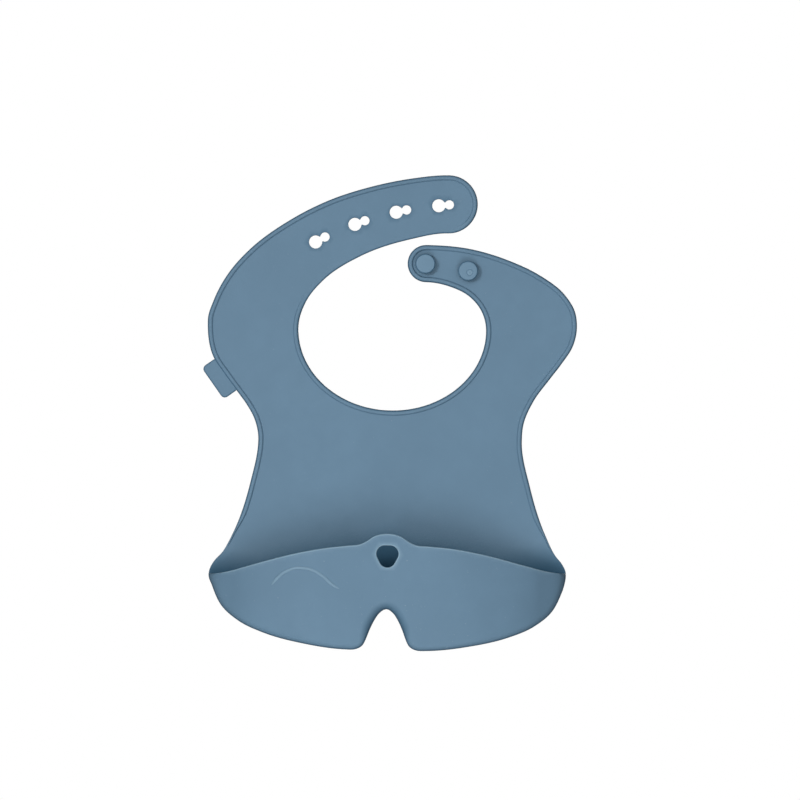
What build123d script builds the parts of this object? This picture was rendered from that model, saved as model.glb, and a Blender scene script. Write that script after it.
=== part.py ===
from build123d import *

import math
import os

# Silicone feeding bib: a flat apron with two neck straps, snap studs and keyholes, and a crumb-catching pocket.
# Millimetres. +Z is up as worn and the front faces -Y. The back, which lies on the wearer, is the plane Y = 0.
# The origin is the centre of the neck opening, at its widest level, on the back face.
# The bib is one flexible moulding, so each part is a region between two bend lines, or a feature moulded on one.
# A bend line is a groove on each face of the sheet, with the hinge axis at the middle of the sheet.

# Sheet and the raised rim along its front edge
SHEET = 1.8
RIM_WIDTH = 3.2
RIM_THICKNESS = 2.9
RIM_END_Z = -140.0
HINGE_Y = -SHEET / 2
GROOVE_GAP = 0.3
GROOVE_REACH = 8.0

# Outline of the flat apron and straps
WING = (120.0, 4.0)
CORNER = (116.1, -159.0)
BOTTOM = (26.0, -205.2)
NECK_HALF = 61.0
NECK_DEPTH = 52.3
NECK_STEPS = 6
NOTCH_APEX_Z = -179.2
HOLE_TIP = (35.0, 82.4)
HOLE_TIP_R = 18.9
STUD_TIP = (21.2, 43.6)
STUD_TIP_R = 12.1

# Bend lines
WAIST_Z = -72.0
CURL_POINT = (-68.5, 43.0)
CURL_TANGENT = (0.604, 0.797)
WAIST_BENDS = (122, 62)
SHOULDER_BENDS = (92, 102)
CURL_BENDS = (62, 62)
TAB_BENDS = (62, 62)

# Fastening: keyholes on one strap, mushroom studs on the other
STUD_PITCH = 28.0
KEYHOLE_R = 4.25
KEYHOLE_LOCK_R = 3.0
KEYHOLE_OFFSET = 6.9
KEYHOLE_SLOT = 3.6
KEYHOLES = 4
KEYHOLE_ARC_CENTRE = (50.3, -125.5)
KEYHOLE_ARC_R = 208.0
LAST_KEYHOLE_ANGLE = 96.0
OUTER_STUD = (20.6, 43.3)
INNER_STUD = (48.4, 39.2)
STEM_R = 2.8
STEM_HEIGHT = 2.4
HEAD_R = 6.5
HEAD_HEIGHT = 2.6
HEAD_ROUND = 1.0

# Pocket
POCKET_WALL = 1.8
POCKET_DEPTH = 43.0
POCKET_CLEARANCE = 0.3
POCKET_SIDE_Y = -5.0
POCKET_ROUND = 4.0
FLOOR_DEPTH = 20.0
MOUTH_END_Z = -158.3
TONGUE_TOP_Z = -130.7
TONGUE_HALF = 20.0
TONGUE_BASE_Z = -158.0
TONGUE_HOLE_Z = -144.5
TONGUE_HOLE_TOP_HALF = 1.7
TONGUE_HOLE_RISE = 1.0
TONGUE_HOLE_DROP = -2.4
TONGUE_HOLE_ROUND = 5.3

# Side tab on the left edge, hinged on a line just outside the rim
TAB_HINGE = (-108.2, -31.5)
TAB_OUT = (-0.808, -0.590)
TAB_LENGTH = 25.0
TAB_REACH = 9.7
TAB_ROUND = 3.0

FAR = 400.0
DOWN, UP, RIGHT, LEFT = (0, -1), (0, 1), (1, 0), (-1, 0)


def unit(x, y):
    size = math.hypot(x, y)
    return (x / size, y / size)


def directed(run):
    """A run of (x, y) or (x, y, direction) as nodes that all have a unit direction.

    A free node takes the direction of the circle through it and its two neighbours.
    """
    nodes = []
    for i, node in enumerate(run):
        if len(node) == 3:
            nodes.append((node[0], node[1], unit(*node[2])))
            continue
        before, after = run[i - 1], run[i + 1]
        a = (node[0] - before[0], node[1] - before[1])
        b = (after[0] - node[0], after[1] - node[1])
        short_a, short_b = 1 / math.dist(a, (0, 0)) ** 2, 1 / math.dist(b, (0, 0)) ** 2
        nodes.append((node[0], node[1], unit(a[0] * short_a + b[0] * short_b, a[1] * short_a + b[1] * short_b)))
    return nodes


def smooth(run, inset=0.0):
    """A smooth curve through a run of nodes, moved to the right of its direction of travel by the inset."""
    moved = [(x + inset * way[1], y - inset * way[0], way) for x, y, way in directed(run)]
    edges = []
    for first, last in zip(moved, moved[1:]):
        chord = math.dist(first[:2], last[:2])
        turn = math.acos(max(-1.0, min(1.0, first[2][0] * last[2][0] + first[2][1] * last[2][1])))
        handle = chord / (3 * math.cos(turn / 4) ** 2)
        leaving = (first[0] + handle * first[2][0], first[1] + handle * first[2][1])
        arriving = (last[0] - handle * last[2][0], last[1] - handle * last[2][1])
        edges.append(Bezier(first[:2], leaving, arriving, last[:2]))
    return edges


def mirrored(run):
    """The same run on the left half, run the other way."""
    return [(-n[0], n[1], (n[2][0], -n[2][1])) if len(n) == 3 else (-n[0], n[1]) for n in reversed(run)]


def pocket_outline():
    """The pocket's lower outline, from the right corner round both lobes and the notch to the left corner."""
    right = [
        (*CORNER, DOWN),
        (112.7, -169.9),
        (106.9, -180.4),
        (95.5, -189.4),
        (78.3, -196.5),
        (53.0, -202.2),
        (*BOTTOM, (-1, -0.02)),
        (18.6, -204.7),
        (15.3, -202.9),
        (13.7, -200.6),
        (12.4, -197.6),
        (10.0, -191.5),
        (7.3, -186.0),
        (4.4, -181.8),
        (0, NOTCH_APEX_Z, LEFT),
    ]
    return [*right, *mirrored(right)[1:]]


def outline():
    """The flat bib's whole edge, clockwise as seen from the front, starting at the right wing."""
    right_side = [
        (*WING, DOWN),
        (117.7, -8.0),
        (110.4, -20.0),
        (103.0, -30.0),
        (92.5, -45.0),
        (86.5, -60.0),
        (85.7, -71.0, DOWN),
        (91.5, -100.0),
        (101.8, -130.5),
        (109.3, -145.0),
        (113.6, -150.2),
    ]
    left_side = [
        (-106.4, -145.0),
        (-99.3, -130.5),
        (-90.0, -100.0),
        (-85.6, -73.0, UP),
        (-88.2, -60.0),
        (-93.8, -50.0),
        (-100.1, -41.7),
        (-108.3, -31.0),
        (-115.5, -20.6),
    ]
    keyhole_outer = [
        (-WING[0], WING[1], UP),
        (-116.4, 17.1),
        (-106.2, 36.2),
        (-93.5, 50.7),
        (-67.9, 70.1),
        (-42.2, 83.7),
        (-16.4, 92.6),
        (9.5, 98.5),
        (HOLE_TIP[0], HOLE_TIP[1] + HOLE_TIP_R, RIGHT),
    ]
    keyhole_inner = [
        (HOLE_TIP[0] + HOLE_TIP_R, HOLE_TIP[1], DOWN),
        (HOLE_TIP[0], HOLE_TIP[1] - HOLE_TIP_R, LEFT),
        (10.4, 59.1),
        (-21.5, 47.6),
        (-45.9, 31.0),
        (-56.1, 17.9),
        (-NECK_HALF, 0, DOWN),
    ]
    neck = []
    for i in range(1, NECK_STEPS):
        turn = math.pi * (1 + i / NECK_STEPS)
        way = (-NECK_HALF * math.sin(turn), NECK_DEPTH * math.cos(turn))
        neck.append((NECK_HALF * math.cos(turn), NECK_DEPTH * math.sin(turn), way))
    stud_strap = [
        (NECK_HALF, 0, UP),
        (58.0, 12.8),
        (50.1, 22.4),
        (36.9, 28.9),
        (STUD_TIP[0], STUD_TIP[1] - STUD_TIP_R, LEFT),
        (STUD_TIP[0] - STUD_TIP_R, STUD_TIP[1], UP),
        (STUD_TIP[0], STUD_TIP[1] + STUD_TIP_R, RIGHT),
        (49.4, 53.7),
        (75.6, 46.4),
        (95.5, 37.3),
        (111.5, 25.3),
        (118.6, 14.0),
        (*WING, DOWN),
    ]
    return [*right_side, *pocket_outline(), *left_side, *keyhole_outer, *keyhole_inner, *neck, *stud_strap]


def on_front(shape, near=0.0):
    """Stands a flat drawing up in the XZ plane, so that it is extruded towards the front from Y = -near."""
    return Plane.XZ.offset(near) * shape


def keyhole_places():
    """(Big lobe's centre, direction towards the strap's tip) for each keyhole, evenly spaced on one arc."""
    step = math.degrees(STUD_PITCH / KEYHOLE_ARC_R)
    places = []
    for i in range(KEYHOLES):
        angle = math.radians(LAST_KEYHOLE_ANGLE + step * (KEYHOLES - 1 - i))
        x = KEYHOLE_ARC_CENTRE[0] + KEYHOLE_ARC_R * math.cos(angle)
        z = KEYHOLE_ARC_CENTRE[1] + KEYHOLE_ARC_R * math.sin(angle)
        places.append(((x, z), math.degrees(angle) - 90))
    return places


def keyhole_face(centre, turn):
    """A big lobe that a stud's head is pushed through, and a small one that holds its stem."""
    lobes = Circle(KEYHOLE_R) + Pos(KEYHOLE_OFFSET, 0) * Circle(KEYHOLE_LOCK_R)
    lobes += Pos(KEYHOLE_OFFSET / 2, 0) * Rectangle(KEYHOLE_OFFSET, KEYHOLE_SLOT)
    return Pos(*centre) * Rot(0, 0, turn) * lobes


def groove(point, tangent, bends):
    """The space along a bend line: a V on each face, whose two sides close up at the joint's limits.

    The tangent lies in the XZ plane and crosses the line. The bends are (towards the front, towards the back).
    """
    half = GROOVE_GAP / 2
    front = half + GROOVE_REACH * math.tan(math.radians(bends[0] / 2))
    back = half + GROOVE_REACH * math.tan(math.radians(bends[1] / 2))
    along = Vector(tangent[0], 0, tangent[1])
    plane = Plane(origin=(point[0], HINGE_Y, point[1]), x_dir=along, z_dir=along.cross(Vector(0, 1, 0)))
    left = [(-front, -GROOVE_REACH), (-half, 0), (-back, GROOVE_REACH)]
    section = Polyline(*left, *[(-x, y) for x, y in reversed(left)], close=True)
    return extrude(plane * make_face(section), amount=FAR, both=True)


def whole_sheet():
    """The flat moulding with its raised rim and keyholes, before it is divided at the bend lines."""
    face = make_face(smooth(outline()))
    inner = make_face(smooth(outline(), RIM_WIDTH))
    sheet = extrude(on_front(face), amount=RIM_THICKNESS)
    above_rim_end = Pos(0, 0, RIM_END_Z + FAR) * Box(2 * FAR, 2 * FAR, 2 * FAR)
    inside_rim = extrude(on_front(inner, SHEET), amount=FAR)
    below_rim = Pos(0, -SHEET - FAR, RIM_END_Z - FAR) * Box(2 * FAR, 2 * FAR, 2 * FAR)
    sheet = sheet - inside_rim - below_rim
    for centre, turn in keyhole_places():
        sheet -= extrude(on_front(keyhole_face(centre, turn)), amount=2 * RIM_THICKNESS)
    return sheet


def divided_sheet():
    """The sheet's five regions by name, divided at the waist, the shoulders and the keyhole strap's curl line."""
    sheet = whole_sheet()
    sheet -= groove((0, WAIST_Z), (0, -1), WAIST_BENDS)
    sheet -= groove((0, 0), (0, 1), SHOULDER_BENDS)
    upper_left = Pos(-FAR / 2, 0, FAR / 2) * Box(FAR, FAR, FAR)
    sheet -= groove(CURL_POINT, CURL_TANGENT, CURL_BENDS) & upper_left
    names = {}
    for solid in sheet.solids():
        box = solid.bounding_box()
        if box.max.Z < WAIST_Z + 1:
            names["skirt_panel"] = solid
        elif box.max.Z < 1:
            names["chest_panel"] = solid
        elif box.min.X > 0:
            names["stud_strap"] = solid
        elif box.max.X > 0:
            names["keyhole_strap_tip"] = solid
        else:
            names["keyhole_strap"] = solid
    return names


def stud(centre):
    """A mushroom stud moulded on the front of the strap: a short stem under a flat round head."""
    stem = extrude(on_front(Pos(*centre) * Circle(STEM_R), SHEET), amount=STEM_HEIGHT)
    head = extrude(on_front(Pos(*centre) * Circle(HEAD_R), SHEET + STEM_HEIGHT), amount=HEAD_HEIGHT)
    front_edge = head.edges().sort_by(Axis.Y)[0]
    return stem + fillet(front_edge, HEAD_ROUND)


def side_tab():
    """A small flat tab beside the left edge. The whole of its groove is cut from the tab's own root."""
    turn = math.degrees(math.atan2(TAB_OUT[1], TAB_OUT[0]))
    plan = RectangleRounded(2 * TAB_REACH, TAB_LENGTH, TAB_ROUND)
    tab = extrude(on_front(Pos(*TAB_HINGE) * Rot(0, 0, turn) * plan), amount=SHEET)
    tab -= groove(TAB_HINGE, TAB_OUT, (2 * TAB_BENDS[0], 2 * TAB_BENDS[1]))
    return tab.solids().sort_by(Axis.X)[0]


def mouth_prism(inset):
    """All the space behind the pocket's front wall as seen from above, set in from the wall's outer face.

    The inset space runs through the back, so that the pocket is open to the apron.
    """
    half = CORNER[0] - inset
    depth = POCKET_DEPTH - inset
    side = POCKET_SIDE_Y
    back = 0 if inset else -SHEET - POCKET_CLEARANCE
    right = [
        (half, side, (-0.35, -1)),
        (0.86 * half, -0.49 * depth),
        (0.55 * half, -0.85 * depth),
        (0, -depth, LEFT),
    ]
    front = smooth([*right, *mirrored(right)[1:]])
    rest = Polyline((-half, side), (-half, back), (half, back), (half, side))
    return extrude(make_face([*front, *rest.edges()]), amount=FAR, both=True)


def silhouette_prism(inset):
    """All the space inside the pocket's lower outline as seen from the front, open at the top."""
    edges = smooth(pocket_outline(), inset)
    right = edges[0].position_at(0)
    left = edges[-1].position_at(1)
    rest = Polyline((left.X, left.Y), (left.X, 0), (right.X, 0), (right.X, right.Y))
    return extrude(on_front(make_face([*edges, *rest.edges()])), amount=FAR)


def pocket_block(inset):
    """The pocket as a solid block with a rounded edge all round the front of its lobes and notch."""
    block = mouth_prism(inset) & silhouette_prism(inset)
    front_edges = []
    for edge in block.edges():
        middle = edge.position_at(0.5)
        runs_back = abs(edge.tangent_at(0.5).Y) > 0.9
        if middle.Y < POCKET_SIDE_Y - 0.5 and middle.Z < CORNER[1] - 0.5 and not runs_back:
            front_edges.append(edge)
    return fillet(front_edges, POCKET_ROUND - inset)


def under_mouth():
    """Everything under the pocket's mouth, whose edge arches up to the tongue in the middle."""
    corner = (CORNER[0] + 1, MOUTH_END_Z)
    right = [
        (*corner, (-1, 0.04)),
        (104.0, -156.1),
        (89.0, -151.2),
        (60.6, -142.8),
        (40.5, -139.1),
        (24.7, -137.8),
        (18.0, -137.3),
        (13.6, -135.4),
        (8.6, -132.3),
        (0, TONGUE_TOP_Z, LEFT),
    ]
    mouth = smooth([*right, *mirrored(right)[1:]])
    rest = Polyline((-corner[0], corner[1]), (-corner[0], -FAR), (corner[0], -FAR), corner)
    return extrude(on_front(make_face([*mouth, *rest.edges()])), amount=FAR)


def tongue_hole():
    """A rounded triangle, point down, that hooks over a stud when the bib is rolled up."""
    top = TONGUE_HOLE_RISE
    corners = Polyline((-TONGUE_HOLE_TOP_HALF, top), (TONGUE_HOLE_TOP_HALF, top), (0, TONGUE_HOLE_DROP), close=True)
    drawing = Pos(0, TONGUE_HOLE_Z) * offset(make_face(corners), amount=TONGUE_HOLE_ROUND)
    return extrude(on_front(drawing), amount=FAR)


def pocket_parts():
    """The front wall, the floor behind it, and the tongue in the middle of the mouth."""
    outer = pocket_block(0)
    inner = pocket_block(POCKET_WALL)
    shell = (outer - inner) & under_mouth()
    back_half = Pos(0, FAR - FLOOR_DEPTH, 0) * Box(2 * FAR, 2 * FAR, 2 * FAR)
    floor = shell & back_half
    front = shell - back_half
    tongue_zone = Pos(0, 0, TONGUE_BASE_Z + FAR / 2) * Box(2 * TONGUE_HALF, FAR, FAR)
    tongue = (front & tongue_zone) - tongue_hole()
    return {"pocket_front": front - tongue_zone, "pocket_floor": floor, "tongue": tongue}


def main():
    parts = divided_sheet()
    parts["outer_stud"] = stud(OUTER_STUD)
    parts["inner_stud"] = stud(INNER_STUD)
    parts["side_tab"] = side_tab()
    parts.update(pocket_parts())
    os.makedirs("parts", exist_ok=True)
    for name, shape in parts.items():
        export_step(shape.solids()[0], f"parts/{name}.step")


main()
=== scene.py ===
import math

import bmesh
import bpy
import numpy as np
from mathutils import Matrix, Vector
from mathutils.geometry import delaunay_2d_cdt

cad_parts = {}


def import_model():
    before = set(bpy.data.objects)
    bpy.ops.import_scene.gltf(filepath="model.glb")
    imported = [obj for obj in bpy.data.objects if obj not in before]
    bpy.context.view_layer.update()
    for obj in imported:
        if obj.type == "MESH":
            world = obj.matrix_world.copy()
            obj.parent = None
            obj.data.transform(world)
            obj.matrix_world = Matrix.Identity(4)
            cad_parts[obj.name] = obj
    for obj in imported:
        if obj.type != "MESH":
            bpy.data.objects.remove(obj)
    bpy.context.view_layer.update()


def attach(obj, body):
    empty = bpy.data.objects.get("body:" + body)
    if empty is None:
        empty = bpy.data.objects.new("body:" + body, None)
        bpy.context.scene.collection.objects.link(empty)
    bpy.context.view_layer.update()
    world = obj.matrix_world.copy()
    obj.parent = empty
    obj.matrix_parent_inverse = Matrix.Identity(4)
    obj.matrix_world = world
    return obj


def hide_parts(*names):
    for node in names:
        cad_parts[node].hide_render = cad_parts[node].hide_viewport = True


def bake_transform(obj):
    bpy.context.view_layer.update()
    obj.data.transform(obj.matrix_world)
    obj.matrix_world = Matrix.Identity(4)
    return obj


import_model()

MM = 0.001

# The moulding's dimensions, in millimetres. X and Z are the flat drawing, and -Y is the front.
SHEET = 1.8
RIM_TOP = 2.9
RIM_END_Z = -140.0
RIM_FADE = 9.0
HINGE_Y = -0.9
WING = (120.0, 4.0)
CORNER = (116.1, -159.0)
BOTTOM = (26.0, -205.2)
NECK_HALF, NECK_DEPTH, NECK_STEPS = 61.0, 52.3, 6
NOTCH_APEX_Z = -179.2
HOLE_TIP, HOLE_TIP_R = (35.0, 82.4), 18.9
STUD_TIP, STUD_TIP_R = (21.2, 43.6), 12.1
WAIST_Z = -72.0
CURL_POINT, CURL_TANGENT = (-68.5, 43.0), (0.604, 0.797)
KEYHOLE_COUNT = 4
KEYHOLE_R, KEYHOLE_LOCK_R, KEYHOLE_OFFSET, KEYHOLE_SLOT = 4.25, 3.0, 6.9, 3.6
KEYHOLE_ARC_CENTRE, KEYHOLE_ARC_R, LAST_KEYHOLE_ANGLE, STUD_PITCH = (50.3, -125.5), 208.0, 96.0, 28.0
POCKET_WALL, POCKET_DEPTH, POCKET_ROUND, POCKET_SIDE = 1.8, 43.0, 4.0, 5.0
TONGUE_TOP_Z, TONGUE_HOLE_Z = -130.7, -144.5
TAB_HINGE, TAB_OUT = (-108.2, -31.5), (-0.808, -0.590)
DOWN, UP, RIGHT, LEFT = (0, -1), (0, 1), (1, 0), (-1, 0)

# The soft pocket hangs a little askew: how far the ends of its mouth sit above and below their CAD places.
RIGHT_RISE, LEFT_DROP = 2.2, 2.3

# How far apart the points along each edge are.
OUTLINE_STEP, POCKET_STEP, MOUTH_STEP, LENS_STEP, ARC_STEP = 1.6, 1.7, 1.0, 0.5, 0.8


def eased(share):
    """A straight ramp from 0 to 1, made to start and end gently."""
    return share * share * (3 - 2 * share)


def unit(x, y):
    size = math.hypot(x, y)
    return (x / size, y / size)


def directed(run):
    """Nodes with a unit direction each.

    A node without one takes that of the circle through it and its neighbours.
    """
    nodes = []
    for i, node in enumerate(run):
        if len(node) == 3:
            nodes.append((node[0], node[1], unit(*node[2])))
            continue
        before, after = run[i - 1], run[i + 1]
        a = (node[0] - before[0], node[1] - before[1])
        b = (after[0] - node[0], after[1] - node[1])
        ka, kb = 1 / (a[0] ** 2 + a[1] ** 2), 1 / (b[0] ** 2 + b[1] ** 2)
        nodes.append((node[0], node[1], unit(a[0] * ka + b[0] * kb, a[1] * ka + b[1] * kb)))
    return nodes


def sampled(run, step):
    """Points and unit directions along the smooth curve through the nodes, about a step apart."""
    nodes = directed(run)
    points, ways = [], []
    for first, last in zip(nodes, nodes[1:]):
        p0, p3 = np.array(first[:2]), np.array(last[:2])
        t0, t3 = np.array(first[2]), np.array(last[2])
        chord = np.linalg.norm(p3 - p0)
        turn = math.acos(max(-1.0, min(1.0, float(t0 @ t3))))
        handle = chord / (3 * math.cos(turn / 4) ** 2)
        p1, p2 = p0 + handle * t0, p3 - handle * t3
        count = max(2, round(chord * (1 + turn * turn / 24) / step))
        for i in range(count):
            t = i / count
            s = 1 - t
            points.append(s**3 * p0 + 3 * s * s * t * p1 + 3 * s * t * t * p2 + t**3 * p3)
            way = s * s * (p1 - p0) + 2 * s * t * (p2 - p1) + t * t * (p3 - p2)
            ways.append(way / np.linalg.norm(way))
    points.append(np.array(nodes[-1][:2]))
    ways.append(np.array(nodes[-1][2]))
    return np.array(points), np.array(ways)


def inward(ways):
    """The direction to the right of travel, which is into the moulding."""
    return np.stack([ways[:, 1], -ways[:, 0]], 1)


def mirrored(run):
    """The run reflected left to right, with its nodes in the opposite order."""
    return [(-n[0], n[1], (n[2][0], -n[2][1])) if len(n) == 3 else (-n[0], n[1]) for n in reversed(run)]


def pocket_outline():
    right = [
        (*CORNER, DOWN),
        (112.7, -169.9),
        (106.9, -180.4),
        (95.5, -189.4),
        (78.3, -196.5),
        (53.0, -202.2),
        (*BOTTOM, (-1, -0.02)),
        (18.6, -204.7),
        (15.3, -202.9),
        (13.7, -200.6),
        (12.4, -197.6),
        (10.0, -191.5),
        (7.3, -186.0),
        (4.4, -181.8),
        (0, NOTCH_APEX_Z, LEFT),
    ]
    return [*right, *mirrored(right)[1:]]


def outline():
    """The flat moulding's whole edge, clockwise as seen from the front, starting at the right wing."""
    right_side = [
        (*WING, DOWN),
        (117.7, -8.0),
        (110.4, -20.0),
        (103.0, -30.0),
        (92.5, -45.0),
        (86.5, -60.0),
        (85.7, -71.0, DOWN),
        (91.5, -100.0),
        (101.8, -130.5),
        (109.3, -145.0),
        (113.6, -150.2),
    ]
    left_side = [
        (-106.4, -145.0),
        (-99.3, -130.5),
        (-90.0, -100.0),
        (-85.6, -73.0, UP),
        (-88.2, -60.0),
        (-93.8, -50.0),
        (-100.1, -41.7),
        (-108.3, -31.0),
        (-115.5, -20.6),
    ]
    keyhole_outer = [
        (-WING[0], WING[1], UP),
        (-116.4, 17.1),
        (-106.2, 36.2),
        (-93.5, 50.7),
        (-67.9, 70.1),
        (-42.2, 83.7),
        (-16.4, 92.6),
        (9.5, 98.5),
        (HOLE_TIP[0], HOLE_TIP[1] + HOLE_TIP_R, RIGHT),
    ]
    keyhole_inner = [
        (HOLE_TIP[0] + HOLE_TIP_R, HOLE_TIP[1], DOWN),
        (HOLE_TIP[0], HOLE_TIP[1] - HOLE_TIP_R, LEFT),
        (10.4, 59.1),
        (-21.5, 47.6),
        (-45.9, 31.0),
        (-56.1, 17.9),
        (-NECK_HALF, 0, DOWN),
    ]
    neck = []
    for i in range(1, NECK_STEPS):
        turn = math.pi * (1 + i / NECK_STEPS)
        way = (-NECK_HALF * math.sin(turn), NECK_DEPTH * math.cos(turn))
        neck.append((NECK_HALF * math.cos(turn), NECK_DEPTH * math.sin(turn), way))
    stud_strap = [
        (NECK_HALF, 0, UP),
        (58.0, 12.8),
        (50.1, 22.4),
        (36.9, 28.9),
        (STUD_TIP[0], STUD_TIP[1] - STUD_TIP_R, LEFT),
        (STUD_TIP[0] - STUD_TIP_R, STUD_TIP[1], UP),
        (STUD_TIP[0], STUD_TIP[1] + STUD_TIP_R, RIGHT),
        (49.4, 53.7),
        (75.6, 46.4),
        (95.5, 37.3),
        (111.5, 25.3),
        (118.6, 14.0),
        (*WING, DOWN),
    ]
    return [*right_side, *pocket_outline(), *left_side, *keyhole_outer, *keyhole_inner, *neck, *stud_strap]


def keyhole_loop(centre, turn, margin, steps=26):
    """A keyhole's edge grown by a margin, anticlockwise, so that the moulding is on the right of travel."""
    half = KEYHOLE_SLOT / 2 + margin
    lobes = (
        (0.0, KEYHOLE_R + margin, 0.0),
        (KEYHOLE_OFFSET, KEYHOLE_LOCK_R + margin, -math.pi),
    )
    points = []
    for middle, radius, first in lobes:
        gap = math.asin(half / radius)
        for i in range(steps + 1):
            a = first + gap + (2 * math.pi - 2 * gap) * i / steps
            points.append((middle + radius * math.cos(a), radius * math.sin(a)))
    c, s = math.cos(turn), math.sin(turn)
    return np.array([(centre[0] + x * c - y * s, centre[1] + x * s + y * c) for x, y in points])


def keyholes():
    """Centre and direction of each keyhole, along the strap's arc from its tip."""
    step = STUD_PITCH / KEYHOLE_ARC_R
    for i in range(KEYHOLE_COUNT):
        a = math.radians(LAST_KEYHOLE_ANGLE) + step * i
        x = KEYHOLE_ARC_CENTRE[0] + KEYHOLE_ARC_R * math.cos(a)
        yield (x, KEYHOLE_ARC_CENTRE[1] + KEYHOLE_ARC_R * math.sin(a)), a - math.pi / 2


def loop_ways(points):
    """Unit directions at each point of a closed loop."""
    way = np.roll(points, -1, 0) - np.roll(points, 1, 0)
    return way / np.linalg.norm(way, axis=1)[:, None]


def inside(points, loop):
    """Whether each point is inside a closed loop."""
    x, y = points[:, 0], points[:, 1]
    hit = np.zeros(len(points), bool)
    for (x0, y0), (x1, y1) in zip(loop, np.roll(loop, -1, 0)):
        if y0 == y1:
            continue
        crosses = (y0 > y) != (y1 > y)
        hit ^= crosses & (x < (x1 - x0) * (y - y0) / (y1 - y0) + x0)
    return hit


def distance_to(points, loop, batch=4000):
    """Distance from each point to the nearest corner of a dense loop, worked out a batch at a time."""
    best = np.zeros(len(points))
    for start in range(0, len(points), batch):
        gap = np.linalg.norm(points[start : start + batch, None] - loop[None], axis=2)
        best[start : start + batch] = gap.min(1)
    return best


def filled(loops, lattice, clear):
    """Triangles that fill the first loop, less the others.

    They go through the lattice points that stay clear of every loop. The result is all the points, which
    start with the loops' own, and the triangles' point numbers, anticlockwise.
    """
    keep = inside(lattice, loops[0])
    for hole in loops[1:]:
        keep &= ~inside(lattice, hole)
    lattice = lattice[keep]
    lattice = lattice[distance_to(lattice, np.concatenate(loops)) > clear]
    points = np.concatenate([*loops, lattice])
    edges, start = [], 0
    for loop in loops:
        n = len(loop)
        edges += [(start + i, start + (i + 1) % n) for i in range(n)]
        start += n
    whole_area, merge_within = 0, 1e-5
    made = delaunay_2d_cdt([Vector(p) for p in points], edges, [], whole_area, merge_within)
    if len(made[0]) != len(points):
        raise RuntimeError("the fill's outline crosses itself")
    where = [ids[0] for ids in made[3]]
    faces = np.array([[where[i] for i in f] for f in made[2]])
    middle = points[faces].mean(1)
    good = inside(middle, loops[0])
    for hole in loops[1:]:
        good &= ~inside(middle, hole)
    faces = faces[good]
    a, b, c = points[faces[:, 0]], points[faces[:, 1]], points[faces[:, 2]]
    area = (b[:, 0] - a[:, 0]) * (c[:, 1] - a[:, 1]) - (b[:, 1] - a[:, 1]) * (c[:, 0] - a[:, 0])
    faces[area < 0] = faces[area < 0][:, ::-1]
    return points, faces


class Builder:
    """Collects the vertices and faces of one mesh, in millimetres."""

    def __init__(self):
        self.points = []
        self.tones = []
        self.faces = []
        self.count = 0

    def add(self, points, tone=0.0):
        """Adds (x, y, z) points and returns their numbers.

        The tone is painted light and shade: it runs from -1, the deepest painted shade, to 1, a painted
        highlight on a raised edge.
        """
        points = np.asarray(points, float)
        self.points.append(points)
        self.tones.append(np.broadcast_to(tone, (len(points),)))
        self.count += len(points)
        return np.arange(self.count - len(points), self.count)

    def strip(self, a, b, closed=True, flip=False):
        """Quads between two rows of equal length."""
        n = len(a)
        for i in range(n if closed else n - 1):
            j = (i + 1) % n
            quad = (a[i], a[j], b[j], b[i])
            self.faces.append(quad[::-1] if flip else quad)

    def triangles(self, numbers, faces, flip=False):
        for f in faces:
            t = [int(numbers[i]) for i in f]
            self.faces.append(tuple(t[::-1] if flip else t))

    def mesh(self, name):
        mesh = bpy.data.meshes.new(name)
        points = np.concatenate(self.points) * MM
        mesh.from_pydata([tuple(p) for p in points], [], [tuple(int(i) for i in f) for f in self.faces])
        mesh.attributes.new("tone", "FLOAT", "POINT").data.foreach_set("value", np.concatenate(self.tones))
        return mesh


def lifted(flat, height):
    """Flat (x, z) points stood up at a height in front of the back plane."""
    height = np.broadcast_to(height, (len(flat),))
    return np.stack([flat[:, 0], -height, flat[:, 1]], 1)


COARSE, FINE, ROW_RATIO = 3.2, 1.7, 0.866
FIELD_X, FIELD_Z, FIELD_WIDTH, FIELD_HEIGHT = -122, -208, 244, 320
WAIST_STRIP, SHOULDER_STRIP, CURL_STRIP = 17, 15, 15
CURL_SIDE_X, CURL_SIDE_Z = -35, 10


def lattice_points():
    """A staggered lattice over the moulding, finer in a strip across every bend."""
    points = []
    for spacing, want_fine in ((COARSE, False), (FINE, True)):
        rows = int(FIELD_HEIGHT / (spacing * ROW_RATIO)) + 2
        columns = np.arange(int(FIELD_WIDTH / spacing) + 1)
        for r in range(rows):
            x = FIELD_X + (r % 2) * spacing / 2 + spacing * columns
            z = np.full(len(x), FIELD_Z + r * spacing * ROW_RATIO)
            along = (x - CURL_POINT[0]) * CURL_TANGENT[0] + (z - CURL_POINT[1]) * CURL_TANGENT[1]
            bend = (np.abs(along) < CURL_STRIP) & (x < CURL_SIDE_X) & (z > CURL_SIDE_Z)
            bend |= np.abs(z - WAIST_Z) < WAIST_STRIP
            bend |= np.abs(z) < SHOULDER_STRIP
            points.append(np.stack([x, z], 1)[bend == want_fine])
    return np.concatenate(points)


# Round the rim, from its inner foot over the top to the back:
# (distance in from the edge, height above the back, tone).
# The tone is painted light: shade at the rim's inner foot and along its outer edge, a faint highlight over
# its top.
RIM_PROFILE = (
    (4.3, 1.8, 0.0),
    (3.8, 1.8, 0.0),
    (3.48, 1.82, -0.2),
    (3.24, 1.93, -0.34),
    (3.06, 2.25, -0.26),
    (2.88, 2.58, 0.0),
    (2.6, 2.79, 0.1),
    (2.15, 2.89, 0.06),
    (1.65, 2.88, 0.06),
    (1.15, 2.72, 0.0),
    (0.72, 2.44, -0.6),
    (0.38, 2.05, -0.9),
    (0.14, 1.6, -1.0),
    (0.02, 1.15, -0.9),
    (0.0, 0.75, -0.6),
    (0.08, 0.36, -0.3),
    (0.3, 0.1, 0.0),
    (0.65, 0.0, 0.0),
    (2.2, 0.0, 0.0),
    (4.3, 0.0, 0.0),
)
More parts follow.
